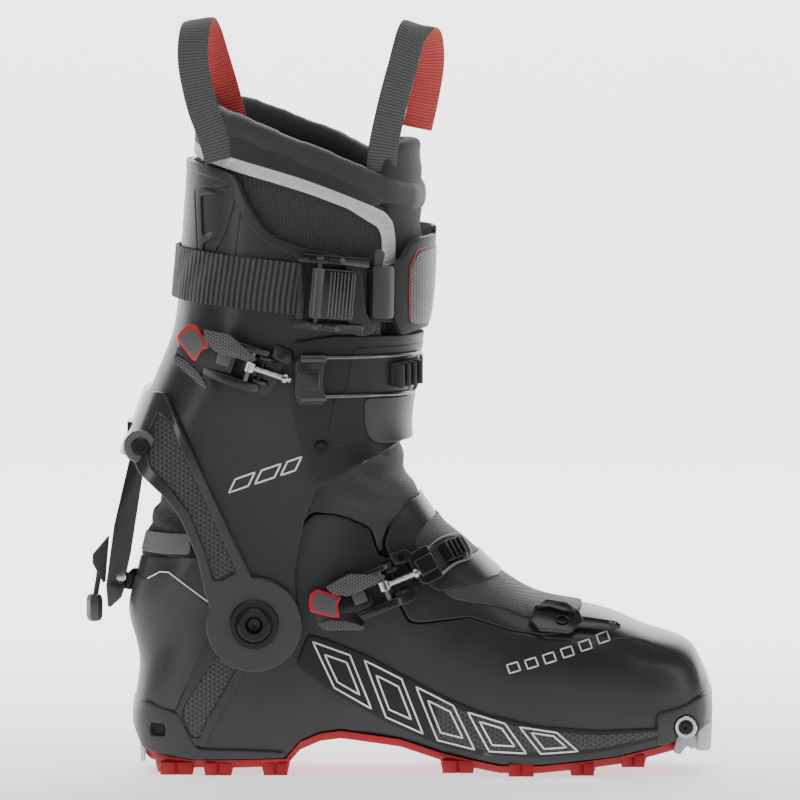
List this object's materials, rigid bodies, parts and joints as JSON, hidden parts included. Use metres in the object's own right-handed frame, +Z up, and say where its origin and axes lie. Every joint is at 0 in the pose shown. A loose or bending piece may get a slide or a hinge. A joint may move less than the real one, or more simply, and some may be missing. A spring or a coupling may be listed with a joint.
{
  "type": "ski touring boot",
  "caption": "Right ski touring boot: stiff shell, hinged cuff with rear walk lever, over-centre buckles with wire bails, cam-buckled power strap, soft liner and lugged rubber sole.",
  "frame": {"origin": "centre of the ground face of the heel's middle lug", "axes": "+X to the toe, +Z up, -Y to the lateral side of this right boot"},
  "size_m": [0.3221, 0.1181, 0.3888],
  "materials": {
    "shell_plastic": "satin",
    "panel_plastic": "satin",
    "strut_plastic": "gloss",
    "textured_rubber": "textured matte",
    "sole_rubber": "matte",
    "red_plastic": "satin",
    "grey_plastic": "satin",
    "steel": "brushed",
    "dark_steel": "black oxide",
    "black_fabric": "woven",
    "white_fabric": "stitched band",
    "grey_webbing": "webbing",
    "black_webbing": "webbing",
    "cord": "braided"
  },
  "bodies": {
    "shell": {"lower_shell": "shell_plastic", "instep_flap": "panel_plastic", "side_rail_lateral": "textured_rubber", "side_rail_medial": "textured_rubber", "outsole": "sole_rubber", "toe_insert_lateral": "steel", "toe_insert_medial": "steel", "heel_insert": "steel", "pivot_bolt_lateral": "dark_steel", "pivot_bolt_medial": "dark_steel", "liner_foot_lateral": "black_fabric", "liner_foot_medial": "black_fabric", "gaiter_front": "black_fabric", "gaiter_heel": "black_fabric", "heel_tag": "grey_webbing", "instep_buckle_base": "panel_plastic", "instep_rack": "panel_plastic", "forefoot_catch": "panel_plastic", "forefoot_rivet": "steel", "catch_bar": "steel", "catch_bracket": "dark_steel"},
    "cuff": {"cuff_shell": "shell_plastic", "strut_lateral": "strut_plastic", "strut_medial": "strut_plastic", "strut_inlay_lateral": "textured_rubber", "strut_inlay_medial": "textured_rubber", "cuff_flap": "panel_plastic", "front_panel": "grey_plastic", "flap_rivet": "steel", "power_strap": "black_webbing", "front_wrap": "textured_rubber", "cam_frame": "panel_plastic", "strap_keeper": "panel_plastic", "liner_cuff": "black_fabric", "liner_rim": "black_fabric", "liner_band": "white_fabric", "liner_tongue": "black_fabric", "rear_loop": "grey_webbing", "front_loop": "grey_webbing", "upper_buckle_base": "panel_plastic", "upper_rack": "panel_plastic", "lever_bracket": "panel_plastic", "lever_pin": "steel"},
    "walk_lever": {"walk_lever": "panel_plastic", "cord_anchor": "textured_rubber", "pull_cord": "cord", "cord_toggle": "panel_plastic"},
    "cam_lever": {"cam_lever": "grey_plastic"},
    "upper_lever": {"upper_lever": "panel_plastic", "upper_lever_pad": "red_plastic"},
    "upper_bail": {"upper_screw": "steel", "upper_block": "panel_plastic", "upper_bail": "steel"},
    "instep_lever": {"instep_lever": "panel_plastic", "instep_lever_pad": "red_plastic"},
    "instep_bail": {"instep_screw": "steel", "instep_block": "panel_plastic", "instep_bail": "steel"}
  },
  "joints": [
    {"name": "cuff_flex", "type": "hinge", "parent": "shell", "child": "cuff", "pos_m": [0.0189, 0, 0.0794], "axis": [0, 1, 0], "range_deg": [0, 20]},
    {"name": "walk_lever_swing", "type": "hinge", "parent": "cuff", "child": "walk_lever", "pos_m": [-0.0394, 0, 0.17], "axis": [0, 1, 0], "range_deg": [0, 50]},
    {"name": "cam_lever_lift", "type": "hinge", "parent": "cuff", "child": "cam_lever", "pos_m": [0.05156, -0.05966, 0.25051], "axis": [0.0872, -0.0003, 0.9962], "range_deg": [-75, 0]},
    {"name": "upper_lever_open", "type": "hinge", "parent": "cuff", "child": "upper_lever", "pos_m": [0.02271, -0.05632, 0.21088], "axis": [0.3069, -0.0406, 0.9509], "range_deg": [0, 110]},
    {"name": "upper_bail_turn", "type": "hinge", "parent": "upper_lever", "child": "upper_bail", "pos_m": [0.01681, -0.05953, 0.21265], "axis": [0.3069, -0.0406, 0.9509], "range_deg": [-125, 0]},
    {"name": "instep_lever_open", "type": "hinge", "parent": "shell", "child": "instep_lever", "pos_m": [0.09091, -0.04613, 0.10096], "axis": [-0.3824, 0.0904, 0.9195], "range_deg": [0, 110]},
    {"name": "instep_bail_turn", "type": "hinge", "parent": "instep_lever", "child": "instep_bail", "pos_m": [0.08563, -0.05026, 0.09916], "axis": [-0.3824, 0.0904, 0.9195], "range_deg": [-125, 0]}
  ],
  "couplings": [
    {"joint": "upper_bail_turn", "follows": "upper_lever_open", "ratio": -1.13},
    {"joint": "instep_bail_turn", "follows": "instep_lever_open", "ratio": -1.13}
  ]
}
